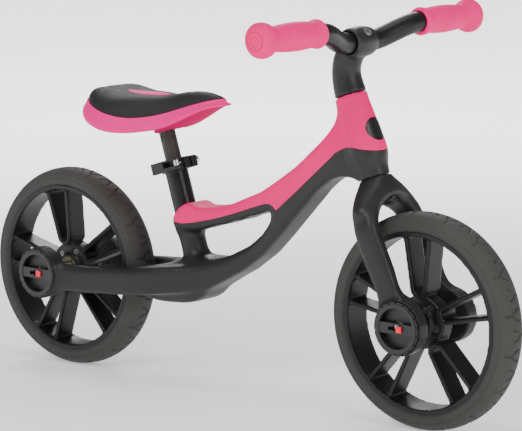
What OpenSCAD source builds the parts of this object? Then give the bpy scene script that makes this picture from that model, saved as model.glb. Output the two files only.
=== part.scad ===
// Toddler balance bike, in millimetres.
// +X is forward, +Y is the rider's left, +Z is up.
// The origin is on the ground, midway between the two wheel axles.

/* [Wheels] */
// Outside diameter of both wheels
wheel_d = 218; // [212:1:220]
// Width of the foam tyre
tyre_w = 36; // [32:1:38]
// Thickness of the spoke walls
spoke_t = 4.8; // [4:0.2:6]
// Depth of the spokes across the wheel
spoke_w = 26; // [22:1:28]
// Radius of the wheel axles
axle_r = 4; // [3.5:0.1:4.2]

/* [Lock dials] */
// Outside radius of the dial's rim
dial_r = 24.6; // [23.6:0.1:24.7]
// Depth of the dish in the dial
dish_depth = 7.4; // [6:0.2:8]
// Width of the red slide button
button_w = 6.4; // [5:0.2:7]

/* [Handlebar] */
// Overall width over the two grips
bar_width = 354; // [340:2:372]
// Radius of the handlebar tube
bar_r = 10.6; // [10:0.1:11]
// Length of each grip
grip_len = 97; // [86:1:104]
// Radius of the grip's end knob
knob_r = 17.4; // [16:0.2:19]

/* [Seat] */
// Overall width of the saddle
saddle_w = 118; // [108:2:126]
// Radius of the plastic seat post
post_r = 8.75; // [8:0.05:9]
// Thickness of the saddle shell's wall
shell_t = 3.6; // [3:0.2:4.4]

/* [Seat clamp] */
// Height of the clamp collar
collar_h = 12; // [10:1:13]
// Reach of the clamp lever behind its pivot
lever_len = 27; // [22:1:32]

/* [Cover] */
// Wall thickness of the pink top cover
cover_t = 3; // [2.4:0.2:3.4]
// Radius of the badge on the cover's nose
badge_r = 12; // [10:0.5:13]

/* [Hidden] */
$fn = 64;
// Gap between pieces that move past each other
gap = 0.4;
// Radial clearance of a shaft that turns or slides in a bore
run = 0.06;
// Wheel radius; both axles sit this high
wr = wheel_d / 2;
// Backward tilt of the steering axis
htilt = 20.95;
// Extra wheel radius over the size that the frame was drawn for
dr = wr - 109;
// Wheel axles in front of and behind the origin
ax_f = 239 + dr * sin(htilt);
ax_r = 239 + dr;
// Radius of the rim's edge where the tyre starts
rim_r = wr - 17;
// Radius of the open middle of the rim
rim_in = rim_r - 6;
// Steering axis: foot point at the height of the front axle
hx = 228;
hz = wr + dr * cos(htilt);
// Height that a change of wheel lifts the frame by
lift = hz - 109;
// Heights along the steering axis: fork joint and stem joint
s_low = 146.7;
s_top = 232.6;
// Steerer tube radius
st_r = 11;
// Front axle seen from the steering axis
fu = 10.27;
fs = -3.93 - dr;
// Seat tube axis: top centre and backward tilt
tx = -88.6;
tz = 225.7 + lift;
ptilt = 17.7;
// Seat tube radii
tube_in = post_r + 2.15;
tube_r = tube_in + 1.35;
neck_r = tube_in + 0.5;
// Length of the seat tube and radius of the sleeve moulded round it
tube_len = 70;
post_sleeve = tube_r + 2;
// Inner and outer faces of the wheel bosses, front and rear
bf_in = 33;
bf_out = 49.4;
br_in = 44;
br_out = 62.4;
pocket_r = dial_r + 1.8;
pocket_d = 11.5;
boss_r = pocket_r + 1.6;
// Dial floor under the clip, and the clip's thickness
floor_t = 4;
clip_t = 1;
// Clamp bolt position in front of the post, and its height
cb_f = neck_r + 6.6;
cb_w = 3 + collar_h / 2;
cb_y = -17;
// Grip axis
gx = 168;
gz = 394.5 + lift;
g_out = bar_width / 2;
g_in = g_out - grip_len;
// Bar clamp centre
cx = 154;
cz = 379.5 + lift;

// Side outline of the black beam, head and handle
beam_side = [
  [-83, 176], [-80, 170], [-80, 131.5], [-96, 128], [-96, 99], [-61, 103.5], [-30, 110.5],
  [-13, 118.5],
  [13.5, 133], [39.5, 151.5], [65, 177], [83.5, 197], [98, 212], [110, 225.5],
  [117.5, 231.5], [128.5, 239.5], [138, 243.5], [148, 244.5], [156, 243], [161, 241],
  [174, 247], [168, 262], [165, 274], [153.5, 275.5],
  [144, 272.5], [131.5, 262.5], [115, 248], [89.5, 226], [74.5, 213.5], [62, 203],
  [57.5, 207.5], [52.5, 208.5], [44, 207.5], [30.5, 203], [13, 196.5], [-13, 188],
  [-39.5, 181], [-66, 176]];
// Half plan of the beam, narrowing into the round head
beam_plan = [
  [-100, 18], [-78, 18.5], [-40, 18], [100, 18], [122, 17.5], [140, 16], [155, 13],
  [168, 9], [175, 4]];
// Side outline of the pink cover
cover_side = [
  [-85, 177.5], [-83, 176.5], [-66, 176.5], [-39.5, 181.5], [-13, 188.5], [13, 197],
  [30.5, 203.5], [44, 208], [52.5, 209], [57.5, 207.5], [62, 203.5], [74.5, 214],
  [89.5, 226.5], [115, 248], [131.5, 263], [144, 272.5], [153.5, 276], [163, 276.5],
  [172, 276], [148, 326], [131, 319.5], [134, 310], [132.5, 300.5],
  [126.5, 290], [114, 276], [100, 263.5], [86, 251.5], [62, 235], [36, 219],
  [15, 210.5], [-2, 203], [-19.5, 198], [-37.5, 195.5], [-50, 195], [-60.5, 199.5],
  [-72, 194.5], [-81, 186]];
// Half plan of the cover
cover_plan = [
  [-90, 3], [-88.5, 9], [-84, 15.5], [-74, 19.5], [-60, 20], [-40, 18.5], [-20, 17.5],
  [40, 17.5], [100, 18], [130, 18.5], [200, 18.5]];
// Side outline of the beam's tongue that fills the cover
tongue_side = [
  [-66, 176], [-64, 186], [-48, 191.5], [-37.5, 191.5], [-19.5, 194.5], [-2, 199.5],
  [15, 206.5], [36, 215], [62, 231], [86, 247.5], [100, 259], [114, 271.5],
  [126.5, 285.5], [133.5, 297], [150, 276], [131.5, 262], [89.5, 226], [62, 203],
  [44, 207], [13, 196.5], [-39.5, 181]];
// Carry handle opening with four finger grooves on its upper edge
handle_hole = [
  [52.5, 196], [53, 199.5], [50.5, 201], [46, 200], [37.5, 196], [33, 195], [29, 193],
  [20, 191.5], [13, 186.5], [5, 186], [-2.5, 183.5], [-11, 179.5], [-18, 179], [-24, 177],
  [-32, 174.5], [-41, 171.5], [-52, 169], [-52, 142], [-38, 142], [-26, 142.5], [-18.5, 144],
  [-2.5, 149.5], [23.5, 162.5], [40.5, 176], [51, 189.5]];
// Open space behind the post, under the cover's ledge
behind_post = [
  [-120, 168], [-86, 172], [-76, 170.5], [-50, 168.5], [-50, 141], [-66, 136.5],
  [-90, 133], [-120, 132]];
// Keel under the frame that serves as the footrest
keel_side = [
  [-118, 102], [-122, 94], [-118, 89], [-94, 88.5], [-63, 91], [-49, 94], [-38, 99.5],
  [-32.5, 106], [-27, 110.5], [-13, 118.5], [0, 130], [-60, 125]];
// Side outline of the rear stays and the yoke that joins them
stay_side = [
  [-239, 123], [-219, 121], [-181, 121], [-108, 127], [-80, 131.5], [-60, 133.5],
  [-36, 137], [-10, 143], [20, 156], [39.5, 151.5], [13.5, 133], [-13, 118.5],
  [-30, 110.5], [-61, 103.5], [-96, 98.5], [-132, 95], [-181, 92], [-219, 91], [-239, 93]];
// Half plan of the stays: outer edge from the rear, inner edge from the front
stay_outer = [
  [-239, 60], [-216, 58.5], [-196, 54.5], [-160, 51], [-120, 48.5], [-90, 44],
  [-66, 36.5], [-40, 27.5], [-10, 21], [20, 19]];
stay_inner = [
  [-108.5, 3], [-109.5, 9], [-113, 17], [-121, 24], [-136, 30], [-160, 35], [-196, 38.5],
  [-216, 41.5], [-239, 44]];
// Half plan of the saddle
saddle_plan = [
  [-202, 3], [-200.5, 14], [-195, 28], [-185, 42], [-171, 53], [-153, 59], [-135, 59],
  [-118, 54], [-104, 46.5], [-92, 38.5], [-80, 32], [-66, 26.5], [-50, 22.5], [-34, 17.5],
  [-23, 11.5], [-17, 5], [-15, 1.5]];
// Side outline of the saddle shell
shell_side = [
  [-203, 293], [-197, 288], [-187, 283.5], [-165, 276], [-140, 271], [-115, 270.5],
  [-97, 272], [-80, 275], [-60, 281.5], [-45, 288.5], [-30, 296.5], [-14, 305.5],
  [-14, 308], [-21, 312], [-40, 307], [-62, 300.5], [-85, 294.5], [-107, 290],
  [-130, 289], [-150, 291], [-175, 298.5], [-192, 305], [-197, 304]];
// Side outline of the padded top
pad_side = [
  [-195, 303.5], [-175, 298], [-150, 290.5], [-130, 289], [-107, 289.5], [-85, 294],
  [-62, 300], [-40, 306.5], [-21, 312], [-23, 313.5], [-30, 316], [-39, 317.5],
  [-49, 318], [-62, 316.5], [-76, 314], [-88, 311.5], [-98, 309.5], [-110, 310],
  [-123, 312], [-134, 314.5], [-146, 317], [-158, 317.5], [-172, 316], [-184, 312.5],
  [-192, 308]];

// Positions and colours shared by the pieces
black = [0.20, 0.21, 0.21];
pink = [0.92, 0.30, 0.50];
steel = [0.75, 0.75, 0.77];

// Extrude a side outline (x, z) to both sides of the middle plane
module side(h) {
  rotate([90, 0, 0])
    translate([0, lift, -h])
      linear_extrude(2 * h)
        children();
}
// Extrude a plan outline (x, y) upwards
module plan(z0, h) {
  translate([0, 0, z0 + lift])
    linear_extrude(h)
      children();
}
// The other half of a half plan, in reverse order
function flip(h) = [for (i = [len(h) - 1:-1:0]) [h[i][0], -h[i][1]]];
// Place a child whose z runs up the steering axis
module on_head() {
  translate([hx, 0, hz])
    rotate([0, -htilt, 0])
      children();
}
// Place a child whose z runs up the seat post
module on_post() {
  translate([tx, 0, tz])
    rotate([0, -ptilt, 0])
      children();
}
// Place a child on a wheel axle, its z pointing to the rider's right
module on_axle(x) {
  translate([x, 0, wr])
    rotate([90, 0, 0])
      children();
}
// Extrude a front outline (y, s) through the fork, front to back
module front_view(h) {
  rotate([90, 0, 90])
    translate([0, 0, -h])
      linear_extrude(2 * h)
        children();
}
// Round bar between two points in the plan of the handlebar
module rod(p, q, r) {
  d = q - p;
  l = norm(d);
  translate(p)
    rotate([0, acos(d[2] / l), atan2(d[1], d[0])])
      cylinder(h = l, r = r);
}

// Black moulded frame: head, beam, carry handle, post, footrest and rear stays
module main_frame() {
  color(black)
    difference() {
      union() {
        difference() {
          union() {
            intersection() {
              side(40)
                polygon(beam_side);
              plan(60, 260)
                polygon(concat(beam_plan, flip(beam_plan)));
            }
            side(17 - cover_t)
              polygon(tongue_side);
            intersection() {
              side(70)
                polygon(stay_side);
              plan(60, 120)
                polygon(concat(stay_outer, flip(stay_outer), flip(stay_inner), stay_inner));
            }
            intersection() {
              side(24)
                polygon(keel_side);
              plan(60, 120)
                polygon([[-122, -10], [-108, -21], [-60, -24], [0, -18], [0, 18], [-60, 24],
                  [-108, 21], [-122, 10]]);
            }
          }
          side(40)
            polygon(handle_hole);
          side(40)
            polygon(behind_post);
        }
        // Round post that holds the seat tube, flared at both ends
        on_post() {
          translate([0, 0, -104])
            cylinder(h = 50, r = post_sleeve);
          translate([0, 0, -66])
            cylinder(h = 10, r1 = post_sleeve, r2 = post_sleeve + 3.4);
          translate([0, 0, -100])
            cylinder(h = 12, r1 = post_sleeve + 4, r2 = post_sleeve);
        }
        on_head() {
          translate([0, 0, s_low])
            cylinder(h = 20.3, r1 = 15.6, r2 = 20);
          translate([0, 0, 160])
            cylinder(h = 12, r = 19.8 - cover_t);
          translate([0, 0, 170])
            cylinder(h = s_top - 170 - 0.3, r1 = 19.8 - cover_t, r2 = 16.4 - cover_t);
        }
        frame_boss();
        mirror([0, 1, 0])
          frame_boss();
      }
      // Bore for the steerer and its two bushes
      on_head()
        translate([0, 0, 120])
          cylinder(h = 140, r = 12);
      on_head()
        translate([0, 0, s_low - 20])
          cylinder(h = 30, r = 13);
      on_head()
        translate([0, 0, s_top - 9])
          cylinder(h = 30, r = 12.6);
      // Room below the fork joint
      on_head()
        translate([-30, -30, s_low - 20])
          cube([60, 60, 20]);
      // Socket for the steel seat tube and room for the post below it
      on_post()
        translate([0, 0, -tube_len])
          cylinder(h = 120, r = tube_r);
      on_post()
        translate([0, 0, -94])
          cylinder(h = 60, r = post_r + 0.7);
      // Rear wheel bosses: axle bore and dial pockets
      on_axle(-ax_r)
        translate([0, 0, -80])
          cylinder(h = 160, r = axle_r);
      boss_pocket(-ax_r, br_out);
      mirror([0, 1, 0])
        boss_pocket(-ax_r, br_out);
      // Clearance for the rear tyre and hub between the stays
      on_axle(-ax_r)
        translate([0, 0, -br_in])
          cylinder(h = 2 * br_in, r = 34);
      on_axle(-ax_r)
        translate([0, 0, -tyre_w / 2 - 4])
          cylinder(h = tyre_w + 8, r = wr + 5);
    }
}
module frame_boss() {
  on_axle(-ax_r)
    translate([0, 0, br_in])
      cylinder(h = br_out - br_in, r = boss_r);
}
module boss_pocket(x, out) {
  on_axle(x)
    translate([0, 0, out - pocket_d])
      cylinder(h = pocket_d + 10, r = pocket_r);
}

// Pink cover over the handle, beam and head
module top_cover() {
  color(pink)
    difference() {
      union() {
        intersection() {
          side(40)
            polygon(cover_side);
          plan(150, 200)
            polygon(concat(cover_plan, flip(cover_plan)));
          rotate([90, 0, 90])
            translate([0, lift, -120])
              linear_extrude(320)
                polygon([[-22, 150], [22, 150], [22, 230], [18, 270], [16, 284],
                  [13.5, 300], [11, 322], [-11, 322], [-13.5, 300], [-16, 284],
                  [-18, 270], [-22, 230]]);
        }
        on_head()
          intersection() {
            translate([0, 0, 160])
              cylinder(h = s_top - 160, r1 = 20.8, r2 = 16.2);
            rotate([0, htilt, 0])
              translate([-60, -60, 164.6])
                cube([120, 120, 100]);
          }
      }
      // Room for the black tongue inside
      side(17.05 - cover_t)
        polygon(tongue_side);
      on_head() {
        translate([0, 0, 120])
          cylinder(h = 50, r = 19.85 - cover_t);
        translate([0, 0, 169.99])
          cylinder(h = s_top - 170 - 0.29, r1 = 19.85 - cover_t, r2 = 16.45 - cover_t);
        translate([0, 0, 120])
          cylinder(h = 160, r = 12.7);
        translate([-40, -40, s_top])
          cube([80, 80, 40]);
      }
      // Everything below the parting line belongs to the frame
      side(40)
        polygon(beam_side);
      // Hole for the seat tube, with the rear of the collar open
      on_post()
        translate([0, 0, -70])
          cylinder(h = 120, r = tube_r);
      // Seat for the badge
      badge_shape(badge_r + 0.05, 3);
    }
}
// Plain round badge set in the cover's nose
module nose_badge() {
  color([0.25, 0.25, 0.26])
    badge_shape(badge_r, 0.5);
}
module badge_shape(r, proud) {
  on_head()
    difference() {
      intersection() {
        rotate([0, 90, 0])
          translate([-192, 0, 5])
            cylinder(h = 30, r = r, $fn = 96);
        translate([0, 0, 160])
          cylinder(h = s_top - 160, r1 = 20.8 + proud, r2 = 16.2 + proud, $fn = 128);
      }
      translate([0, 0, 150])
        cylinder(h = s_top - 140, r1 = 20.8 - 0.6, r2 = 14.9, $fn = 128);
    }
}
// Plastic bushes that carry the steerer in the frame
module upper_bush() {
  color([0.85, 0.85, 0.83])
    on_head()
      difference() {
        union() {
          translate([0, 0, s_top - 9])
            cylinder(h = 8.7, r = 12.6);
          translate([0, 0, s_top - 0.3])
            cylinder(h = 0.3, r = 12.65);
        }
        translate([0, 0, s_top - 20])
          cylinder(h = 40, r = st_r + run);
      }
}
module lower_bush() {
  color([0.85, 0.85, 0.83])
    on_head()
      difference() {
        translate([0, 0, s_low])
          cylinder(h = 10, r = 13);
        translate([0, 0, s_low - 5])
          cylinder(h = 40, r = st_r + run);
      }
}
// Black steel tube that stands in the frame
module seat_tube() {
  color([0.16, 0.16, 0.17])
    on_post()
      difference() {
        translate([0, 0, -tube_len])
          cylinder(h = tube_len, r = tube_r);
        translate([0, 0, -tube_len - 10])
          cylinder(h = tube_len + 20, r = tube_in);
      }
}
// Slotted plastic bush between the tube, the collar and the post
module tube_bush() {
  color([0.13, 0.13, 0.13])
    on_post()
      difference() {
        union() {
          translate([0, 0, -32])
            cylinder(h = 32.5, r = tube_in);
          cylinder(h = 2, r = tube_r);
          cylinder(h = 2.5 + collar_h, r = neck_r);
        }
        translate([0, 0, -40])
          cylinder(h = 80, r = post_r + run);
        translate([0, -1, -26])
          cube([30, 2, 60]);
      }
}
// Split collar with two ears in front
module clamp_collar() {
  color([0.18, 0.18, 0.19])
    on_post()
      difference() {
        union() {
          translate([0, 0, 2])
            cylinder(h = collar_h, r = neck_r + 3.6);
          translate([8, -10, 2])
            cube([cb_f - 3, 20, collar_h]);
        }
        translate([0, 0, -5])
          cylinder(h = 40, r = neck_r);
        translate([5, -1.5, -5])
          cube([30, 3, 40]);
        translate([cb_f, 20, cb_w])
          rotate([90, 0, 0])
            cylinder(h = 40, r = 2.5);
      }
}
// Bolt through the ears, with the barrel that the lever turns on
module clamp_bolt() {
  color(steel)
    on_post() {
      difference() {
        translate([cb_f, 17, cb_w])
          rotate([90, 0, 0])
            cylinder(h = 17 - cb_y, r = 2.5);
        translate([cb_f, cb_y, cb_w - 20])
          cylinder(h = 40, r = 1);
      }
      translate([cb_f, cb_y, 2.6])
        cylinder(h = collar_h - 0.8, r = 3.2);
    }
}
module clamp_nut() {
  color(steel)
    on_post()
      difference() {
        translate([cb_f, 15, cb_w])
          rotate([90, 0, 0])
            cylinder(h = 5, r = 4.6, $fn = 6);
        translate([cb_f, 20, cb_w])
          rotate([90, 0, 0])
            cylinder(h = 20, r = 2.5);
      }
}
// Black quick release lever, folded back along the near side
module clamp_lever() {
  lt = collar_h;
  color([0.17, 0.17, 0.18])
    on_post()
      difference() {
        union() {
          translate([cb_f, cb_y, 2])
            cylinder(h = lt, r = 6.2);
          translate([cb_f, cb_y, 2])
            linear_extrude(lt)
              polygon([[0, -6.2], [-4, -1], [-11, -2.4], [-19, -4.4], [-lever_len, -6],
                [-lever_len - 0.6, -10], [-15, -9], [-6, -7.8]]);
        }
        // Turning room round the barrel
        translate([cb_f, cb_y, -10])
          cylinder(h = 50, r = 3.2 + run);
        // Window that lets the bolt pass as the lever swings
        translate([cb_f - 12, cb_y - 12, cb_w - 3])
          cube([24, 24, 6]);
      }
}
// Ribbed seat post
module seat_post() {
  color([0.24, 0.24, 0.23])
    on_post()
      difference() {
        translate([0, 0, -78])
          cylinder(h = 130, r = post_r);
        translate([0, 0, -90])
          cylinder(h = 100, r = post_r - 3);
        // Notches round the top
        for (a = [0:60:300])
          rotate([0, 0, a + 30])
            translate([post_r - 1, -2, 37])
              cube([4, 4, 7]);
        // Screw holes
        for (f = [-4.4, 4.4])
          translate([f, 0, 30])
            cylinder(h = 40, r = 1.6);
      }
}
// Saddle shell with its socket for the post
module saddle_shell() {
  k = saddle_w / 118;
  color(pink)
    difference() {
      union() {
        difference() {
          saddle_body(0, k)
            polygon(shell_side);
          // Hollow underside
          intersection() {
            translate([0, 0, -shell_t])
              side(70)
                polygon(concat([[-203, 240], [-10, 240], [-10, 306]],
                  [for (i = [13:22]) shell_side[i]]));
            plan(200, 160)
              saddle_outline(shell_t, k);
          }
        }
        on_post()
          translate([-10, -10, 45])
            cube([20, 20, 20.5]);
      }
      on_post()
        translate([0, 0, 40])
          cylinder(h = 12, r = post_r);
      on_post()
        for (f = [-4.4, 4.4])
          translate([f, 0, 40])
            cylinder(h = 40, r = 1.6);
      on_post()
        translate([-7.8, -3.4, 61])
          cube([15.6, 6.8, 20]);
      side(70)
        polygon(pad_side);
    }
}
// Saddle's plan, drawn in by an inset
module saddle_outline(inset, k) {
  q = [for (p = saddle_plan)
    [-110 + (p[0] + 110) * (1 - inset / 95), max(0.4, p[1] * k - inset)]];
  polygon(concat(q, flip(q)));
}
// Side outline cut to the saddle's plan
module saddle_body(inset, k) {
  intersection() {
    side(70)
      children();
    plan(200, 160)
      saddle_outline(inset, k);
  }
}
// Soft padded top
module saddle_pad() {
  color([0.29, 0.29, 0.29])
    difference() {
      saddle_body(5, saddle_w / 118)
        polygon(pad_side);
      translate([-124, 0, 306 + lift])
        rotate([0, 6, 0])
          scale(1)
            inlay_shape(0, 14);
      on_post()
        translate([-7, -3.2, 61])
          cube([14, 6.4, 12]);
    }
}
module inlay_shape(g, h) {
  intersection() {
    translate([0, 36, 0])
      cylinder(h = h, r = 48 - g);
    translate([0, -36, 0])
      cylinder(h = h, r = 48 - g);
  }
}
// Pink inlay in the channel of the pad
module saddle_inlay() {
  color([0.95, 0.45, 0.60])
    translate([-124, 0, 306 + lift])
      rotate([0, 6, 0])
        inlay_shape(0.05, 3);
}
module saddle_screws() {
  color(steel)
    on_post()
      for (f = [-4.4, 4.4])
        translate([f, 0, 0]) {
          translate([0, 0, 34])
            cylinder(h = 28, r = 1.6);
          translate([0, 0, 61])
            cylinder(h = 2, r = 2.9);
        }
}

// Moulded fork with an arched crown
module fork() {
  color(black)
    on_head()
      difference() {
        union() {
          intersection() {
            front_view(40)
              polygon([[-15.5, s_low - 0.5], [-16.5, 143], [-19, 138], [-24, 131], [-32.5, 122.5],
                [-39.5, 112.5], [-43.5, 100], [-44.5, 85], [-44.5, fs - 16], [44.5, fs - 16],
                [44.5, 85], [43.5, 100], [39.5, 112.5], [32.5, 122.5], [24, 131], [19, 138],
                [16.5, 143], [15.5, s_low - 0.5]]);
            side(60)
              polygon([[-15.5, s_low - 0.5], [-15.2, 140], [-13.4, 128], [-11, 115], [-10.4, 100],
                [-10.3, 88], [-9, 72], [-7.4, 57], [-6.8, 42], [-7.2, 30], [-10, 18], [-14, 8],
                [34, 8], [28, 16], [22.4, 24], [19, 33], [17.6, 43], [15.9, 60], [14.4, 77],
                [12.8, 90], [12.8, 100], [13.2, 115], [13.8, 128], [15, 140], [15.5, s_low - 0.5]]);
          }
          translate([0, 0, 136])
            cylinder(h = s_low - 0.5 - 136, r1 = 17.4, r2 = 15.6);
          fork_boss();
          mirror([0, 1, 0])
            fork_boss();
        }
        // Arched room for the wheel
        rotate([0, 90, 0])
          translate([-90, 0, -50])
            cylinder(h = 100, r = 32.2);
        translate([-60, -32.2, -60])
          cube([120, 64.4, 150]);
        translate([0, 0, 118])
          cylinder(h = 60, r = st_r);
        fork_pocket();
        mirror([0, 1, 0])
          fork_pocket();
        translate([fu, 80, fs])
          rotate([90, 0, 0])
            cylinder(h = 160, r = axle_r);
      }
}
module fork_boss() {
  translate([fu, -bf_in, fs])
    rotate([90, 0, 0])
      cylinder(h = bf_out - bf_in, r = boss_r);
}
module fork_pocket() {
  translate([fu, -bf_out + pocket_d, fs])
    rotate([90, 0, 0])
      cylinder(h = pocket_d + 10, r = pocket_r);
}
module steerer_tube() {
  color(steel)
    on_head()
      difference() {
        translate([0, 0, 122.3])
          cylinder(h = 134, r = st_r);
        translate([0, 0, 110])
          cylinder(h = 160, r = st_r - 1.8);
      }
}
// Curved stem with the bar clamp
module stem() {
  su = (cx - hx) * cos(htilt) + (cz - hz) * sin(htilt);
  ss = (cz - hz) * cos(htilt) - (cx - hx) * sin(htilt);
  color([0.17, 0.18, 0.18])
    on_head()
      difference() {
        union() {
          translate([0, 0, s_top + gap])
            cylinder(h = 26, r1 = 16.2, r2 = 14.6);
          translate([1.2, 0, 258])
            sphere(r = 14.7);
          rod([1.2, 0, 258], [12, 0, 267], 14.4);
          rod([12, 0, 267], [su, 0, ss], 14.2);
          translate([12, 0, 267])
            sphere(r = 14.5);
          translate([su, 16, ss])
            rotate([90, 0, 0])
              cylinder(h = 32, r = bar_r + 4.8);
        }
        translate([0, 0, 200])
          cylinder(h = 56.3, r = st_r);
        translate([su, 40, ss])
          rotate([90, 0, 0])
            cylinder(h = 80, r = bar_r);
        // Countersunk hole for the clamp bolt
        translate([su, 0, ss])
          rotate([0, 45 + htilt, 0])
            cylinder(h = 40, r = 2.5);
        translate([su, 0, ss])
          rotate([0, 45 + htilt, 0])
            translate([0, 0, bar_r + 3.4])
              cylinder(h = 40, r = 5);
      }
}
module stem_bolt() {
  color(steel)
    translate([cx, 0, cz])
      rotate([0, 45, 0])
        difference() {
          union() {
            translate([0, 0, bar_r])
              cylinder(h = 5, r = 2.5);
            translate([0, 0, bar_r + 3.4])
              cylinder(h = 2.6, r = 4.7);
          }
          translate([0, 0, bar_r + 4.4])
            cylinder(h = 3, r = 2.2, $fn = 6);
        }
}
// Handlebar tube, bent up and out to the grips
module handlebar() {
  color([0.15, 0.16, 0.16])
    difference() {
      union() {
        translate([cx, 30, cz])
          rotate([90, 0, 0])
            cylinder(h = 60, r = bar_r);
        half_bar();
        mirror([0, 1, 0])
          half_bar();
      }
      for (m = [0, 1])
        mirror([0, m, 0])
          translate([gx, -g_out, gz])
            rotate([-90, 0, 0])
              cylinder(h = 96, r = bar_r - 1.6);
    }
}
module half_bar() {
  translate([cx, -30, cz])
    sphere(r = bar_r + 0.08);
  rod([cx, -30, cz], [gx, -g_in + 15, gz], bar_r);
  translate([gx, -g_in + 15, gz])
    sphere(r = bar_r + 0.08);
  translate([gx, -g_in + 15, gz])
    rotate([90, 0, 0])
      cylinder(h = g_out - 3 - g_in + 15, r = bar_r);
}
// Rubber grip with an inner collar and an end knob
module right_grip() {
  q = g_out;
  b = bar_r;
  color(pink)
    translate([gx, 0, gz])
      rotate([90, 0, 0])
        difference() {
          rotate_extrude()
            polygon([[0, g_in], [b + 2, g_in], [b + 3, g_in + 1], [b + 3, g_in + 5],
              [b + 2.3, g_in + 8], [b + 3.4, g_in + 24], [b + 3.7, g_in + 40], [b + 3, q - 36],
              [b + 2, q - 26], [b + 1.8, q - 21], [knob_r - 3.4, q - 18],
              [knob_r - 0.9, q - 15], [knob_r, q - 11], [knob_r - 0.5, q - 7.4],
              [knob_r - 2.4, q - 4], [knob_r - 5.4, q - 1.6], [knob_r - 8, q - 0.6],
              [knob_r - 8.6, q - 1.4], [knob_r - 9.6, q - 1.4], [knob_r - 10.2, q - 0.2],
              [0, q]]);
          translate([0, 0, g_in - 5])
            cylinder(h = q - 3 - g_in + 5, r = bar_r);
        }
}
module left_grip() {
  mirror([0, 1, 0])
    right_grip();
}

// Foam tyre
module tyre() {
  a = tyre_w / 2;
  color([0.22, 0.22, 0.21])
    rotate_extrude($fn = 96)
      polygon([[rim_r - 3, -a + 3.6], [rim_r, -a + 3.6], [rim_r, -a + 1], [rim_r + 4, -a],
        [rim_r + 8, -a], [wr - 6, -a + 1.6], [wr - 3, -a + 5], [wr - 1, -a + 10.4], [wr, -2],
        [wr, 2], [wr - 1, a - 10.4], [wr - 3, a - 5], [wr - 6, a - 1.6], [rim_r + 8, a],
        [rim_r + 4, a], [rim_r, a - 1], [rim_r, a - 3.6], [rim_r - 3, a - 3.6]]);
}
// Rim, five double spokes and hub in one moulding; first spoke points along ang
module rim(ang) {
  a = tyre_w / 2;
  color([0.18, 0.18, 0.19])
    difference() {
      union() {
        rotate_extrude($fn = 96)
          polygon([[rim_in, -a + 1.4], [rim_r, -a + 1.4], [rim_r, -a + 3.6],
            [rim_r - 3, -a + 3.6], [rim_r - 3, a - 3.6], [rim_r, a - 3.6], [rim_r, a - 1.4],
            [rim_in, a - 1.4]]);
        translate([0, 0, -8.5])
          cylinder(h = 17, r = 27);
        translate([0, 0, -12])
          cylinder(h = 24, r = 14);
        for (i = [0:4])
          rotate([0, 0, ang + 72 * i])
            translate([0, 0, -spoke_w / 2])
              linear_extrude(spoke_w)
                spoke();
      }
      // Bearing seats and the bore between them
      translate([0, 0, -30])
        cylinder(h = 60, r = 8);
      for (m = [0, 1])
        mirror([0, 0, m]) {
          translate([0, 0, 5])
            cylinder(h = 20, r = 11);
          for (i = [0:4])
            rotate([0, 0, ang + 36 + 72 * i])
              translate([18.5, 0, 0]) {
                translate([0, 0, 2])
                  cylinder(h = 20, r = 1.5);
                translate([0, 0, 6.5])
                  cylinder(h = 20, r = 3.4);
              }
        }
    }
}
// One double spoke: two legs joined by a round end at the hub
module spoke() {
  difference() {
    union() {
      translate([34, 0])
        circle(r = 10);
      polygon([[34, -10], [rim_in + 1, -17], [rim_in + 1, 17], [34, 10]]);
    }
    translate([34, 0])
      circle(r = 10 - spoke_t);
    polygon([[34, -10 + spoke_t], [rim_in + 4, -17 + spoke_t], [rim_in + 4, 17 - spoke_t],
      [34, 10 - spoke_t]]);
  }
}
module bearings() {
  color([0.78, 0.72, 0.55])
    for (m = [0, 1])
      mirror([0, 0, m])
        difference() {
          translate([0, 0, 5])
            cylinder(h = 7, r = 11);
          cylinder(h = 40, r = axle_r + run);
          // Groove that shows the two races
          translate([0, 0, 11.4])
            difference() {
              cylinder(h = 2, r = 9);
              translate([0, 0, -1])
                cylinder(h = 4, r = 6.6);
            }
        }
}
module hub_screws(ang) {
  color(steel)
    for (m = [0, 1])
      mirror([0, 0, m])
        for (i = [0:4])
          rotate([0, 0, ang + 36 + 72 * i])
            translate([18.5, 0, 0])
              difference() {
                union() {
                  translate([0, 0, 2])
                    cylinder(h = 4.6, r = 1.5);
                  translate([0, 0, 6.5])
                    cylinder(h = 1.5, r = 2.9);
                }
                translate([0, 0, 7])
                  cylinder(h = 2, r = 1.3, $fn = 6);
              }
}
// Axle with its ends at the dials
module axle(out) {
  e = out - pocket_d + floor_t + 2 * gap + clip_t + 0.6;
  color(steel)
    translate([0, 0, -e])
      cylinder(h = 2 * e, r = axle_r);
}
// Sleeves between the bearings and the bosses
module spacers(inner) {
  color([0.6, 0.6, 0.62])
    for (m = [0, 1])
      mirror([0, 0, m])
        difference() {
          translate([0, 0, 12 + gap])
            cylinder(h = inner - 12 - gap, r = axle_r + 2.4);
          cylinder(h = 80, r = axle_r);
        }
}
// Push-on clips that keep the dials on the axle
module clips(out) {
  e = out - pocket_d + floor_t + 2 * gap;
  color(steel)
    for (m = [0, 1])
      mirror([0, 0, m])
        difference() {
          translate([0, 0, e])
            cylinder(h = clip_t, r = axle_r + 2.2);
          cylinder(h = 90, r = axle_r);
        }
}
// Toothed ring pressed into the boss
module lock_ring(out) {
  color([0.10, 0.10, 0.10])
    difference() {
      translate([0, 0, out - pocket_d])
        cylinder(h = pocket_d + 0.3, r = pocket_r);
      translate([0, 0, out - pocket_d - 1])
        cylinder(h = pocket_d + 5, r = dial_r + gap);
      for (i = [0:17])
        rotate([0, 0, 20 * i + 10])
          translate([dial_r - 0.6, -0.7, out - 1])
            cube([6, 1.4, 3]);
    }
}
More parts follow.
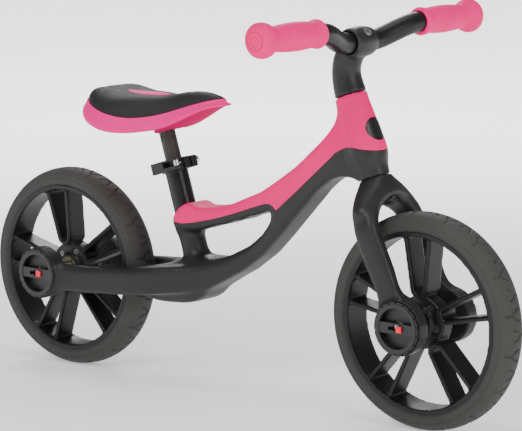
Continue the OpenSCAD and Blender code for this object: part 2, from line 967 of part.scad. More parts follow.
// Dial: rim, deep dish, crossbar with a slot, and a hub on the axle
module dial(out) {
  b = out - pocket_d + gap;
  t = out + 0.8;
  color([0.16, 0.16, 0.16])
    difference() {
      union() {
        difference() {
          translate([0, 0, b])
            cylinder(h = t - b, r = dial_r);
          translate([0, 0, t - dish_depth])
            cylinder(h = dish_depth + 1, r = dial_r - 4.2);
        }
        intersection() {
          translate([-dial_r, -5.4, t - 3.8])
            cube([2 * dial_r, 10.8, 3.2]);
          translate([0, 0, b])
            cylinder(h = t - b, r = dial_r - 3.6);
        }
      }
      translate([0, 0, b - 1])
        cylinder(h = 20, r = axle_r + run);
      // Room for the clip
      translate([0, 0, b + floor_t])
        cylinder(h = 3.2, r = axle_r + 3);
      translate([-9.6, -1.7, t - 5])
        cube([17.6, 3.4, 8]);
    }
}
// Red slide button in the dial's slot
module button(out) {
  t = out + 0.8;
  color([0.86, 0.15, 0.20])
    union() {
      translate([4.4 - button_w / 2, -3.1, t - 0.25])
        cube([button_w, 6.2, 1.6]);
      translate([4.4 - 2, -1.3, t - 4.4])
        cube([4, 2.6, 4.4]);
      translate([4.4 - 2.6, -2.8, t - 5.1])
        cube([5.2, 5.6, 0.9]);
    }
}

module front_axle() {
  on_axle(ax_f)
    axle(bf_out);
}
module front_spacers() {
  on_axle(ax_f)
    spacers(bf_in);
}
module front_clips() {
  on_axle(ax_f)
    clips(bf_out);
}
module front_tyre() {
  on_axle(ax_f)
    tyre();
}
module front_rim() {
  on_axle(ax_f)
    rim(20);
}
module front_bearings() {
  on_axle(ax_f)
    bearings();
}
module front_hub_screws() {
  on_axle(ax_f)
    hub_screws(20);
}
module rear_axle() {
  on_axle(-ax_r)
    axle(br_out);
}
module rear_spacers() {
  on_axle(-ax_r)
    spacers(br_in);
}
module rear_clips() {
  on_axle(-ax_r)
    clips(br_out);
}
module rear_tyre() {
  on_axle(-ax_r)
    tyre();
}
module rear_rim() {
  on_axle(-ax_r)
    rim(29.5);
}
module rear_bearings() {
  on_axle(-ax_r)
    bearings();
}
module rear_hub_screws() {
  on_axle(-ax_r)
    hub_screws(29.5);
}
module front_right_lock_ring() {
  on_axle(ax_f)
    lock_ring(bf_out);
}
module front_left_lock_ring() {
  mirror([0, 1, 0])
    front_right_lock_ring();
}
module rear_right_lock_ring() {
  on_axle(-ax_r)
    lock_ring(br_out);
}
module rear_left_lock_ring() {
  mirror([0, 1, 0])
    rear_right_lock_ring();
}
module front_right_dial() {
  on_axle(ax_f)
    dial(bf_out);
}
module front_left_dial() {
  mirror([0, 1, 0])
    front_right_dial();
}
module rear_right_dial() {
  on_axle(-ax_r)
    dial(br_out);
}
module rear_left_dial() {
  mirror([0, 1, 0])
    rear_right_dial();
}
module front_right_button() {
  on_axle(ax_f)
    button(bf_out);
}
module front_left_button() {
  mirror([0, 1, 0])
    front_right_button();
}
module rear_right_button() {
  on_axle(-ax_r)
    button(br_out);
}
module rear_left_button() {
  mirror([0, 1, 0])
    rear_right_button();
}

main_frame();
top_cover();
nose_badge();
upper_bush();
lower_bush();
seat_tube();
tube_bush();
clamp_collar();
clamp_bolt();
clamp_nut();
clamp_lever();
seat_post();
saddle_shell();
saddle_pad();
saddle_inlay();
saddle_screws();
fork();
steerer_tube();
stem();
stem_bolt();
handlebar();
right_grip();
left_grip();
front_axle();
front_spacers();
front_clips();
front_tyre();
front_rim();
front_bearings();
front_hub_screws();
rear_axle();
rear_spacers();
rear_clips();
rear_tyre();
rear_rim();
rear_bearings();
rear_hub_screws();
front_right_lock_ring();
front_left_lock_ring();
rear_right_lock_ring();
rear_left_lock_ring();
front_right_dial();
front_left_dial();
rear_right_dial();
rear_left_dial();
front_right_button();
front_left_button();
rear_right_button();
rear_left_button();
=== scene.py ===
"""Balance bike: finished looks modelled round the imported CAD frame."""

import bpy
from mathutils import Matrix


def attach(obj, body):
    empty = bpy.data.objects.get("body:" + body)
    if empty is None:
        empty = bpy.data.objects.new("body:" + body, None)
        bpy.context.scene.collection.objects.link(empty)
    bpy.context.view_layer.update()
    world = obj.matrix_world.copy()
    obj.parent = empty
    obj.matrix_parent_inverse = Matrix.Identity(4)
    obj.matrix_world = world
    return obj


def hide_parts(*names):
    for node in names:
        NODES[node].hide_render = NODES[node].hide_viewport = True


bl_info = {
    "name": "Balance Bike Looks",
    "version": (1, 0, 0),
    "blender": (4, 5, 0),
    "location": "View3D > Sidebar > Balance Bike",
    "description": "Builds the finished pieces and materials of a toddler balance bike",
    "category": "Object",
}

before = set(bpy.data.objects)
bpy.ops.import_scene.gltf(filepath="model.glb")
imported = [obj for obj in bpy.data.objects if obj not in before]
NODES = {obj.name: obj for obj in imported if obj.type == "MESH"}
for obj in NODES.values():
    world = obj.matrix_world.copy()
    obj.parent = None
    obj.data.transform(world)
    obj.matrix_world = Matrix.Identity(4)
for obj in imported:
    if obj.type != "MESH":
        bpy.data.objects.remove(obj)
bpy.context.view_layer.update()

import math
from contextlib import contextmanager

import bpy
import numpy as np
from bpy.props import FloatProperty, FloatVectorProperty, IntProperty, PointerProperty
from mathutils import Matrix, Vector
from mathutils.bvhtree import BVHTree

MM = 0.001
ENDS = ("front", "rear")
SIDES = ("right", "left")

# Sizes are in mm in the frame's axes: forward, left and up from the ground between
# the axles. The tyre's radius is also the height of both axles.
TYRE_RADIUS = 109
AXLE_X = dict(zip(ENDS, (239, -239)))
# Round bosses at the axles, and the little rounding that their edges get
BOSS_RADIUS = 31
BOSS_HOLD = 0.2
# Steering axis: foot point and backward tilt
HEAD_FOOT = Vector((228, 0, 109)) * MM
HEAD_TILT = math.radians(20.95)
# Heights along the steering axis of the fork joint and the stem joint
HEAD_LOW = 146.7
HEAD_TOP = 232.6
# Rounding right at those joints, and the height over which it grows to full
JOINT_HOLD = 0.04
JOINT_RISE = 9
# Seat tube: centre of its top and backward tilt
POST_TOP = Vector((-88.6, 0, 225.7)) * MM
POST_TILT = math.radians(17.7)
# Handlebar: radius, and (forward, up) of its middle in the clamp and of its ends
BAR_RADIUS = 10.6
BAR_MIDDLE = (154, 379.5)
BAR_END = (168, 394.5)
# Points nearer than this are one point, in metres
WELD = 0.00002


def linear(code):
    """Turn an sRGB hex colour into linear RGB with full alpha."""
    parts = [int(code[i:i + 2], 16) / 255 for i in (1, 3, 5)]
    rgb = [c / 12.92 if c <= 0.04045 else ((c + 0.055) / 1.055) ** 2.4 for c in parts]
    return tuple(rgb + [1.0])


def colour_prop(name, note, code):
    """A colour that the panel can change, from its sRGB hex code."""
    return FloatVectorProperty(
        name=name, description=note, subtype="COLOR", size=4, min=0, max=1,
        default=linear(code))


class BikeSizes(bpy.types.PropertyGroup):
    """Sizes that shape the finished pieces."""

    frame_voxel: FloatProperty(
        name="Frame mesh size", description="Spacing of the frame's skin mesh",
        default=1.6 * MM, min=0.001, max=0.004, subtype="DISTANCE", unit="LENGTH")
    wheel_voxel: FloatProperty(
        name="Wheel mesh size", description="Spacing of the rims' skin mesh",
        default=1.5 * MM, min=0.001, max=0.004, subtype="DISTANCE", unit="LENGTH")
    frame_rounding: IntProperty(
        name="Frame rounding", description="Smoothing passes over the frame's edges",
        default=80, min=2, max=120)
    groove_count: IntProperty(
        name="Tread grooves", description="Forked grooves round each tyre",
        default=34, min=20, max=48)
    groove_depth: FloatProperty(
        name="Groove depth", description="Depth of the tread grooves",
        default=1.5 * MM, min=0.0003, max=0.003, subtype="DISTANCE", unit="LENGTH")
    grip_inner: FloatProperty(
        name="Grip start", description="Distance of the grips' inner ends from the middle",
        default=80 * MM, min=0.06, max=0.1, subtype="DISTANCE", unit="LENGTH")


class BikeColours(bpy.types.PropertyGroup):
    """Colours of the finishes."""

    charcoal: colour_prop("Charcoal", "Frame, fork and stem mouldings", "#252626")
    pink: colour_prop("Pink", "Top cover", "#FA0074")
    shell_pink: colour_prop("Saddle pink", "Saddle shell and inlay", "#FA0E8A")
    # Darker copy of the saddle pink: painted shade on the shell below its crease and on the
    # socket
    painted_shade_pink: colour_prop("Saddle underside", "Saddle shell below its crease", "#C8005E")
    grip_pink: colour_prop("Grip pink", "Rubber grips", "#F90478")
    tyre: colour_prop("Tyre", "Foam tyres", "#3A3A38")
    wheel: colour_prop("Wheel", "Rims and spokes", "#161617")
    pad: colour_prop("Saddle pad", "Grained soft cover", "#252525")
    button: colour_prop("Button", "Slide buttons of the lock dials", "#F90A28")


# ---------------------------------------------------------------- helpers

def deselect():
    """Leave edit mode and select nothing."""
    if bpy.context.object and bpy.context.object.mode != "OBJECT":
        bpy.ops.object.mode_set(mode="OBJECT")
    bpy.ops.object.select_all(action="DESELECT")


def pick(obj):
    """Make one object the selected and active one."""
    deselect()
    obj.select_set(True)
    bpy.context.view_layer.objects.active = obj
    return obj


@contextmanager
def whole_mesh(obj):
    """Edit mode on one object with all of its mesh selected."""
    pick(obj)
    bpy.ops.object.mode_set(mode="EDIT")
    bpy.ops.mesh.select_all(action="SELECT")
    yield
    bpy.ops.object.mode_set(mode="OBJECT")


def new_object(name, data):
    """Link a new object for a mesh, a curve, a light or the camera."""
    obj = bpy.data.objects.new(name, data)
    bpy.context.scene.collection.objects.link(obj)
    return obj


def mesh_object(name, verts, edges=(), faces=()):
    """New object from corner points in metres, with edges or faces."""
    mesh = bpy.data.meshes.new(name)
    mesh.from_pydata([tuple(v) for v in verts], edges, faces)
    mesh.update()
    return pick(new_object(name, mesh))


def modify(obj, kind, **settings):
    """Add a modifier, set it and apply it."""
    pick(obj)
    mod = obj.modifiers.new(kind.title(), kind)
    for key, value in settings.items():
        setattr(mod, key, value)
    bpy.ops.object.modifier_apply(modifier=mod.name)


def outward(obj):
    """Merge doubles and turn all faces outwards."""
    with whole_mesh(obj):
        bpy.ops.mesh.remove_doubles(threshold=WELD)
        bpy.ops.mesh.normals_make_consistent(inside=False)


def smooth_shade(obj, angle=40):
    """Shade smooth, but keep edges sharper than an angle in degrees."""
    pick(obj)
    bpy.ops.object.shade_smooth_by_angle(angle=math.radians(angle))


def fit_piece(obj, body, slot, material, *nodes):
    """Give a finished piece its finish, its body and the CAD nodes it stands for."""
    if not any(obj.data.materials):
        obj.data.materials.clear()
        obj.data.materials.append(material)
    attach(obj, body)
    if nodes:
        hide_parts(*nodes)


def ease(t):
    """A smooth ramp from 0 to 1 as t runs from 0 to 1."""
    t = min(1.0, max(0.0, t))
    return t * t * (3 - 2 * t)


def table(points, x, blur=5.0):
    """Height at x from (x, height) points in mm, blurred over about blur mm."""
    xs, zs = np.array(points, float).T
    steps = np.linspace(-2, 2, 9)
    weights = np.exp(-steps ** 2)
    return float((np.interp(x + steps * blur, xs, zs) * weights).sum() / weights.sum())


def closed_curve(points, count):
    """Even points round a closed Catmull-Rom curve through the given points."""
    p = np.array(points, float)
    n = len(p)
    out = []
    for i in range(n):
        a, b, c, d = p[i - 1], p[i], p[(i + 1) % n], p[(i + 2) % n]
        for t in np.linspace(0, 1, 12, endpoint=False):
            out.append(0.5 * (2 * b + (c - a) * t + (2 * a - 5 * b + 4 * c - d) * t ** 2
                              + (3 * b - a - 3 * c + d) * t ** 3))
    ring = np.vstack([out, out[:1]])
    along = np.concatenate([[0], np.cumsum(np.linalg.norm(np.diff(ring, axis=0), axis=1))])
    want = np.linspace(0, along[-1], count, endpoint=False)
    return np.stack([np.interp(want, along, ring[:, k]) for k in range(p.shape[1])], 1)


def rings_to_mesh(name, rings):
    """Skin over closed rings of equal length, with a fan to the middle at each end."""
    n = len(rings[0])
    verts = [tuple(v) for ring in rings for v in ring]
    faces = []
    for r in range(len(rings) - 1):
        for i in range(n):
            j = (i + 1) % n
            faces.append((r * n + i, r * n + j, (r + 1) * n + j, (r + 1) * n + i))
    for r in (0, len(rings) - 1):
        verts.append(tuple(np.mean(np.array(rings[r]), axis=0)))
        middle = len(verts) - 1
        faces += [(r * n + i, r * n + (i + 1) % n, middle) for i in range(n)]
    obj = mesh_object(name, verts, faces=faces)
    outward(obj)
    return obj


def turned(name, profile, steps, centre, axis):
    """Turn a profile of (distance along, radius) in mm round an axis with Spin."""
    axis = Vector(axis).normalized()
    side = axis.orthogonal().normalized()
    centre = Vector(centre)
    verts = [centre + axis * (a * MM) + side * (max(r, 0.001) * MM) for a, r in profile]
    obj = mesh_object(name, verts, edges=[(i, i + 1) for i in range(len(verts) - 1)])
    with whole_mesh(obj):
        bpy.ops.mesh.spin(steps=steps, angle=math.tau, center=centre, axis=axis)
    outward(obj)
    smooth_shade(obj, 35)
    return obj


def prism(name, outline, half):
    """Side outline in mm carried to both sides of the middle plane."""
    n = len(outline)
    verts = [(x * MM, y * MM, z * MM) for y in (-half, half) for x, z in outline]
    faces = [tuple(range(n)), tuple(range(2 * n - 1, n - 1, -1))]
    faces += [(i, (i + 1) % n, n + (i + 1) % n, n + i) for i in range(n)]
    obj = mesh_object(name, verts, faces=faces)
    outward(obj)
    return obj


def join(*objects):
    """Join objects into the first one."""
    deselect()
    for obj in objects:
        obj.select_set(True)
    bpy.context.view_layer.objects.active = objects[0]
    if len(objects) > 1:
        bpy.ops.object.join()
    return objects[0]


def skin_of(name, *nodes):
    """Merged copy of CAD nodes as one new object."""
    copies = [new_object(name, NODES[node].data.copy()) for node in nodes]
    for obj in copies:
        obj.data.materials.clear()
    obj = join(*copies)
    obj.name = name
    with whole_mesh(obj):
        bpy.ops.mesh.remove_doubles(threshold=WELD)
    return obj


def soften(obj, voxel, passes, hold, shape=None):
    """Close a skin with a voxel mesh, shape it and round its edges as hold says."""
    modify(obj, "REMESH", mode="VOXEL", voxel_size=voxel, use_smooth_shade=True)
    if shape:
        moved = [shape(v.co, v.normal) for v in obj.data.vertices]
        for v, place in zip(obj.data.vertices, moved):
            v.co = place
    group = obj.vertex_groups.new(name="rounding")
    levels = {}
    for v in obj.data.vertices:
        levels.setdefault(round(hold(v.co), 2), []).append(v.index)
    for level, members in levels.items():
        group.add(members, level, "REPLACE")
    modify(obj, "SMOOTH", factor=0.5, iterations=passes, vertex_group="rounding")
    obj.vertex_groups.clear()


def axis_frame(p, foot, tilt):
    """A point seen from a tilted axis: forward, sideways and up it, in mm."""
    d = p - foot
    c, s = math.cos(tilt), math.sin(tilt)
    return (d.x * c + d.z * s) / MM, d.y / MM, (d.z * c - d.x * s) / MM


def head_frame(p):
    """A point seen from the steering axis."""
    return axis_frame(p, HEAD_FOOT, HEAD_TILT)


def head_point(u, y, s):
    """The point at (forward, sideways, up) mm from the steering axis's foot."""
    c, t = math.cos(HEAD_TILT), math.sin(HEAD_TILT)
    return HEAD_FOOT + Vector((u * c - s * t, y, u * t + s * c)) * MM


def on_head_axis(name, profile):
    """Turn a profile of (height, radius) in mm about the steering axis."""
    c, t = math.cos(HEAD_TILT), math.sin(HEAD_TILT)
    return turned(name, profile, 96, HEAD_FOOT, (-t, 0, c))


def joint_hold(s, joint):
    """Rounding at a height on the steering axis near a joint."""
    return min(1.0, JOINT_HOLD + abs(s - joint) / JOINT_RISE)


def in_boss(p, end):
    """Whether a point lies in the round boss at an axle."""
    return math.hypot(p.x / MM - AXLE_X[end], p.z / MM - TYRE_RADIUS) < BOSS_RADIUS


# --------------------------------------------------------------- materials

def add(tree, kind, sockets=None, links=None, **settings):
    """Add a node with its settings, socket values and incoming links."""
    node = tree.nodes.new(kind)
    for key, value in settings.items():
        setattr(node, key, value)
    for key, value in (sockets or {}).items():
        node.inputs[key].default_value = value
    for key, value in (links or {}).items():
        tree.links.new(value, node.inputs[key])
    return node


def centred(tree, value, middle, spread):
    """Map a noise value to a range about a middle value."""
    return add(tree, "ShaderNodeMapRange",
               {"From Min": 0.3, "From Max": 0.7, "To Min": middle - spread,
                "To Max": middle + spread}, {"Value": value}).outputs["Result"]


def finish(name, colour, roughness, grain, depth, spread=0.05, rough_spread=0.05,
           pattern="noise", **sockets):
    """A surface finish: mottled colour, uneven gloss and a grain of real size.

    grain and depth are the grain's width and height in mm. spread is the share by
    which the colour drifts, and rough_spread the most that the roughness drifts.
    """
    material = bpy.data.materials.new(name)
    material.use_nodes = True
    tree = material.node_tree
    shader = next(n for n in tree.nodes if n.type == "BSDF_PRINCIPLED")
    place = add(tree, "ShaderNodeTexCoord").outputs["Object"]
    cloud = add(tree, "ShaderNodeTexNoise", {"Scale": 28.0, "Detail": 3.0},
                {"Vector": place}).outputs["Fac"]
    tint = add(tree, "ShaderNodeVectorMath", {0: tuple(colour[:3])},
               {"Scale": centred(tree, cloud, 1, spread)}, operation="SCALE")
    tree.links.new(tint.outputs["Vector"], shader.inputs["Base Color"])
    if pattern == "cells":
        fine = add(tree, "ShaderNodeTexVoronoi", {"Scale": 1000.0 / grain},
                   {"Vector": place}, feature="F1").outputs["Distance"]
    else:
        fine = add(tree, "ShaderNodeTexNoise", {"Scale": 1000.0 / grain, "Detail": 2.0},
                   {"Vector": place}).outputs["Fac"]
    tree.links.new(centred(tree, fine, roughness, rough_spread), shader.inputs["Roughness"])
    bump = add(tree, "ShaderNodeBump", {"Strength": 0.6, "Distance": depth * MM},
               {"Height": fine}).outputs["Normal"]
    tree.links.new(bump, shader.inputs["Normal"])
    for key, value in sockets.items():
        shader.inputs[key.replace("_", " ")].default_value = value
    return material


def make_finishes(colours):
    """Every finish on the bike, from what the real surface is."""
    return {
        # Polypropylene moulded in a spark-eroded tool: satin, broad soft highlights
        "charcoal": finish("polypropylene_charcoal_satin", colours.charcoal, 0.42, 1.6, 0.05,
                           IOR=1.49, Specular_IOR_Level=0.3),
        # Polypropylene, pigmented through: slightly glossier than the black
        "pink": finish("polypropylene_pink_satin", colours.pink, 0.5, 1.8, 0.03, 0.03,
                       IOR=1.49, Specular_IOR_Level=0.1),
        "shell": finish("polypropylene_light_pink", colours.shell_pink, 0.5, 1.8, 0.03, 0.03,
                        IOR=1.49, Specular_IOR_Level=0.1),
        # Darker copy of the saddle pink that hardly reflects: painted shade on the saddle's
        # underside
        "under": finish("polypropylene_pink_painted_shade", colours.painted_shade_pink, 0.6, 1.8, 0.03, 0.03,
                        IOR=1.49, Specular_IOR_Level=0.03),
        # Thermoplastic rubber moulded with a fine matt texture
        "grip": finish("thermoplastic_rubber_pink", colours.grip_pink, 0.58, 1.3, 0.09, 0.03,
                       IOR=1.5, Specular_IOR_Level=0.12),
        # Closed-cell EVA foam: matt, with tiny burst cells
        "tyre": finish("eva_foam_moulded", colours.tyre, 0.72, 1.5, 0.12, 0.07,
                       pattern="cells", IOR=1.45),
        # Glass-filled nylon of the rims: dark, even satin
        "wheel": finish("nylon_black_moulded", colours.wheel, 0.42, 1.5, 0.04, 0.05, IOR=1.4),
        # Polyurethane skin with a leather-like grain, drawn at 2 mm so that it shows
        "pad": finish("polyurethane_grained", colours.pad, 0.62, 2.0, 0.28, 0.05,
                      pattern="cells", IOR=1.5, Specular_IOR_Level=0.25),
        # Powder-coated steel tube: semi-gloss with a faint orange peel
        "coat": finish("steel_powder_coated_black", linear("#141515"), 0.42, 2.4, 0.04,
                       IOR=1.5, Specular_IOR_Level=0.28),
        "tube": finish("steel_powder_coated_dark", linear("#101111"), 0.34, 2.4, 0.03,
                       IOR=1.5, Specular_IOR_Level=0.35),
        # Zinc-plated steel of bolts, screws and axles
        "zinc": finish("steel_zinc_plated", linear("#C9CBCE"), 0.28, 0.9, 0.02, 0.04,
                       Metallic=1.0),
        # Blackened steel screw heads: dull, only their rims glint
        "screw": finish("steel_blackened", linear("#77787A"), 0.42, 0.9, 0.02, 0.05,
                        Metallic=1.0),
        # Passivated bearing shields, deep in the hub
        "bearing": finish("steel_passivated", linear("#5E5A4C"), 0.4, 0.9, 0.02, 0.06,
                          Metallic=1.0),
        # Acetal of collars, levers, bushes and dials
        "acetal": finish("acetal_black_moulded", linear("#151616"), 0.4, 1.2, 0.04, 0.05,
                         IOR=1.48),
        "dial": finish("abs_black_textured", linear("#1A1A1B"), 0.44, 1.2, 0.06, 0.05,
                       IOR=1.54),
        "button": finish("abs_red_gloss", colours.button, 0.22, 2.0, 0.01, 0.02,
                         rough_spread=0.03, IOR=1.54),
        "post": finish("nylon_grey_moulded", linear("#2B2C26"), 0.5, 1.2, 0.06, 0.06,
                       IOR=1.53),
        "badge": finish("abs_badge_charcoal", linear("#15161A"), 0.3, 1.5, 0.02, 0.04,
                        IOR=1.54),
        "bush": finish("acetal_natural", linear("#C9C7C0"), 0.45, 1.2, 0.03, 0.03, IOR=1.48),
    }


FINISH = {}
NODE_FINISH = {
    "main_frame": "charcoal", "top_cover": "pink", "nose_badge": "badge",
    "upper_bush": "acetal", "lower_bush": "acetal", "seat_tube": "tube", "tube_bush": "acetal",
    "clamp_collar": "acetal", "clamp_bolt": "zinc", "clamp_nut": "zinc",
    "clamp_lever": "acetal", "seat_post": "post", "saddle_shell": "shell",
    "saddle_pad": "pad", "saddle_inlay": "shell", "saddle_screws": "zinc",
    "fork": "charcoal", "steerer_tube": "coat", "stem": "charcoal", "stem_bolt": "zinc",
    "handlebar": "coat", "right_grip": "grip", "left_grip": "grip",
}
for end in ENDS:
    NODE_FINISH.update({
        f"{end}_axle": "zinc", f"{end}_spacers": "zinc", f"{end}_clips": "zinc",
        f"{end}_tyre": "tyre", f"{end}_rim": "wheel", f"{end}_bearings": "bearing",
        f"{end}_hub_screws": "screw"})
    for hand in SIDES:
        NODE_FINISH.update({
            f"{end}_{hand}_lock_ring": "dial", f"{end}_{hand}_dial": "dial",
            f"{end}_{hand}_button": "button"})


class BIKE_OT_finishes(bpy.types.Operator):
    """Make every finish and put it on the CAD pieces"""

    bl_idname = "bike.finishes"
    bl_label = "Finishes"

    def execute(self, context):
        FINISH.update(make_finishes(context.scene.bike_colours))
        for node, key in NODE_FINISH.items():
            obj = NODES[node]
            obj.data.materials.clear()
            obj.data.materials.append(FINISH[key])
        return {"FINISHED"}


# ------------------------------------------------------------------ pieces

class BIKE_OT_frame(bpy.types.Operator):
    """Model the frame moulding and the pink cover that lies flush on it"""

    bl_idname = "bike.frame"
    bl_label = "Frame and cover"

    # Lower edge of the pink cover, from the seat tube to the front of the head
    COVER_EDGE = [
        (-120, 177.2), (-85, 177.2), (-66, 176.5), (-53, 178.4), (-39.5, 181.5), (-26, 184.8),
        (-13, 188.5), (0, 192.6), (13, 197), (22, 200.2), (30.5, 203.2), (38, 205.8),
        (44, 207.8), (49, 208.8), (53, 208.9), (57.5, 207.3), (62, 203.5), (68, 208.2),
        (74.5, 213.8), (82, 220), (89.5, 226.3), (102, 237.2), (115, 248.2), (124, 256.2),
        (131.5, 262.8), (138, 269), (144, 272.6), (149, 274.8), (154, 276), (163, 276.7),
        (176, 275.4), (200, 273.5)]
    # Height above everything, and half the width, of the block that cuts the cover off
    CUT_TOP = 400
    CUT_HALF = 70
    # Head outline about the steering axis: height and radius
    HEAD = [(146.9, 0), (146.9, 15.2), (147.3, 15.6), (150, 15.7), (155, 16.3), (160, 17.6),
            (164.5, 19.4), (168.5, 20.6), (173, 20.9), (181, 20.4), (195, 19.2), (210, 17.9),
            (222, 16.9), (231.8, 16.2), (232.3, 15.8), (232.3, 0)]
    # Radii between which the head's skin is drawn to that outline, fading outwards,
    # and the angles from the front over which the beam behind it is left alone
    SKIN_INNER = 14.2
    SKIN_OUTER = 34
    SKIN_FADE = 15
    BEAM_TURN = 168
    BEAM_FADE = 96
    # Top of the cover's lip on the right of the seat tube: forward place and height
    LIP = [(-104, 168), (-98, 171), (-92, 174.5), (-86.6, 178.5), (-75, 189.5),
           (-64, 200.3), (-56, 208)]
    LIP_SPAN = (-100, -58)
    LIP_SHARE = 0.9
    # The cover's pointed rear end: where it starts, the heights it lies between, the
    # tip's height, thickness and reach, and the fall of the top towards it
    TAIL_X = -86
    TAIL_SPAN = (165, 215)
    TIP_Z = 177.5
    TIP_THICK = 5
    TIP_REACH = 5
    TAIL_FALL = 0.35
    # Crisp edges: between these radii the head's rounding goes from that of its joints
    # to full; the seat tube's socket has its radius, its depth and its own rounding
    JOINT_RADII = (17.5, 26)
    SOCKET_RADIUS = 14
    SOCKET_DEPTH = 33
    SOCKET_HOLD = 0.15

    @classmethod
    def shape(cls, p, normal):
        """Bring the front and sides of the head to its turned outline."""
        u, y, s = head_frame(p)
        radius = math.hypot(u, y)
        if not (cls.SKIN_INNER < radius < cls.SKIN_OUTER and HEAD_LOW < s < HEAD_TOP):
            return cls.tail(p)
        turn = abs(math.degrees(math.atan2(y, u)))
        share = ease((cls.BEAM_TURN - turn) / cls.BEAM_FADE)
        share *= ease((cls.SKIN_OUTER - radius) / cls.SKIN_FADE)
        want = float(np.interp(s, *zip(*cls.HEAD[2:-2])))
        new = radius + (want - radius) * share
        return head_point(u * new / radius, y * new / radius, s)

    @classmethod
    def tail(cls, p):
        """Lower the lip beside the seat tube and draw the rear end out to a low point."""
        x, y, z = p / MM
        if cls.LIP_SPAN[0] < x < cls.LIP_SPAN[1] and z < cls.TAIL_SPAN[1]:
            right_side = ease((-y - 3) / 6)
            z -= cls.LIP_SHARE * max(0.0, z - table(cls.LIP, x)) * right_side
        if x < cls.TAIL_X and cls.TAIL_SPAN[0] <= z <= cls.TAIL_SPAN[1]:
            behind = cls.TAIL_X - x
            reach = cls.TIP_REACH * min(1.0, behind / 12)
            x -= reach * math.exp(-((z - cls.TIP_Z) / cls.TIP_THICK) ** 2)
            # Only what lies above the tip falls
            above = min(1.0, max(0.0, (z - cls.TIP_Z - 1.5) / 6))
            z -= cls.TAIL_FALL * behind * above
        return Vector((x, y, z)) * MM

    @classmethod
    def hold(cls, p):
        """How far the edges are rounded at a point, 0 to 1."""
        u, y, s = head_frame(p)
        radius = math.hypot(u, y)
        inner, outer = cls.JOINT_RADII
        if radius < outer:
            near = min(joint_hold(s, HEAD_TOP), joint_hold(s, HEAD_LOW))
            return near + (1 - near) * max(0.0, (radius - inner) / (outer - inner))
        f, y, w = axis_frame(p, POST_TOP, POST_TILT)
        if w > -cls.SOCKET_DEPTH and math.hypot(f, y) < cls.SOCKET_RADIUS:
            return cls.SOCKET_HOLD
        return BOSS_HOLD if in_boss(p, "rear") else 1.0

    def execute(self, context):
        sizes = context.scene.bike_sizes
        whole = join(skin_of("frame_moulding", "main_frame", "top_cover"),
                     on_head_axis("head_shell", self.HEAD))
        soften(whole, sizes.frame_voxel, sizes.frame_rounding, self.hold, self.shape)
        cover = new_object("cover_moulding", whole.data.copy())
        corners = [(self.COVER_EDGE[i][0], self.CUT_TOP) for i in (-1, 0)]
        cutter = prism("cover_side", self.COVER_EDGE + corners, self.CUT_HALF)
        for obj, how in ((cover, "INTERSECT"), (whole, "DIFFERENCE")):
            modify(obj, "BOOLEAN", operation=how, object=cutter, solver="MANIFOLD")
            smooth_shade(obj, 50)
        bpy.data.objects.remove(cutter)
        fit_piece(whole, "frame", "charcoal_plastic", FINISH["charcoal"], "main_frame")
        fit_piece(cover, "frame", "pink_plastic", FINISH["pink"], "top_cover")
        return {"FINISHED"}


class BIKE_OT_fork(bpy.types.Operator):
    """Model the fork with its arched crown"""

    bl_idname = "bike.fork"
    bl_label = "Fork"

    VOXEL = 1.35 * MM
    ROUNDING = 60
    # Heights about the steering axis: the flat top that meets the head, the lower end
    # of the crown's bell, and above the last the edges stay nearly crisp
    TOP = 146.4
    CROWN_LOW = 104
    CRISP = 140
    # Outline that the crown keeps within, about the steering axis: height and radius
    CROWN = [(-60, 0), (-60, 90), (110, 90), (114, 50), (118, 42), (123, 37), (128, 32.6),
             (132, 28.6), (135.5, 25), (138.5, 22), (141.5, 19.4), (144, 17.4), (145.8, 16.5),
             (TOP, 16), (TOP, 0)]
    # Oval bell of the crown's outside: half width and half depth by height
    WIDTH = [(CROWN_LOW, 57), (110, 53.5), (114, 50.5), (118, 47), (123, 42.5), (128, 37.8),
             (132, 33.4), (135.5, 29.2), (138.5, 25.2), (141.5, 21.4), (144, 18.4), (TOP, 16)]
    DEPTH = [(CROWN_LOW, 17), (112, 18), (120, 19), (128, 19.6), (134, 19.2), (138.5, 18.2),
             (141.5, 17.2), (144, 16.5), (TOP, 16)]
    # The steerer's bore, which the bell leaves alone
    BORE = 9
    # What the rounding takes off the legs, given back before it, from a height upwards
    FILL = 2.1
    FILL_LOW = 34

    @classmethod
    def shape(cls, p, normal):
        """Fill out the legs and round the outside of the crown to an oval bell."""
        u, y, s = head_frame(p)
        # The filling comes in up the legs and goes out towards the joint
        legs = ease((s - cls.FILL_LOW) / 22)
        joint = ease((cls.TOP - 0.4 - s) / 16)
        place = p + normal * (cls.FILL * MM * legs * joint)
        radius = math.hypot(u, y)
        if s < cls.CROWN_LOW or s > cls.TOP - 0.1 or radius < cls.BORE:
            return place
        half_width, half_depth = (float(np.interp(s, *zip(*rows)))
                                  for rows in (cls.WIDTH, cls.DEPTH))
        want = 1 / math.hypot(u / radius / half_depth, y / radius / half_width)
        # Only what faces away from the axis moves, and the arch below stays
        facing = (head_point(u, y, s) - head_point(0, 0, s)).normalized().dot(normal)
        share = 0.9 * ease((s - cls.CROWN_LOW) / 18) * ease((facing - 0.1) / 0.6)
        oval = head_point(u * want / radius, y * want / radius, s)
        return place.lerp(oval, share)

    @classmethod
    def hold(cls, p):
        """How far the edges are rounded at a point, 0 to 1."""
        s = head_frame(p)[2]
        if s > cls.CRISP:
            return 0.03 + 0.5 * min(1.0, abs(s - cls.TOP) / 7)
        return BOSS_HOLD if in_boss(p, "front") else 1.0

    def execute(self, context):
        obj = skin_of("fork_moulding", "fork")
        modify(obj, "REMESH", mode="VOXEL", voxel_size=self.VOXEL)
        limit = on_head_axis("fork_limit", self.CROWN)
        modify(obj, "BOOLEAN", operation="INTERSECT", object=limit, solver="MANIFOLD")
        bpy.data.objects.remove(limit)
        soften(obj, self.VOXEL, self.ROUNDING, self.hold, self.shape)
        smooth_shade(obj, 50)
        fit_piece(obj, "steering", "charcoal_plastic", FINISH["charcoal"], "fork")
        return {"FINISHED"}


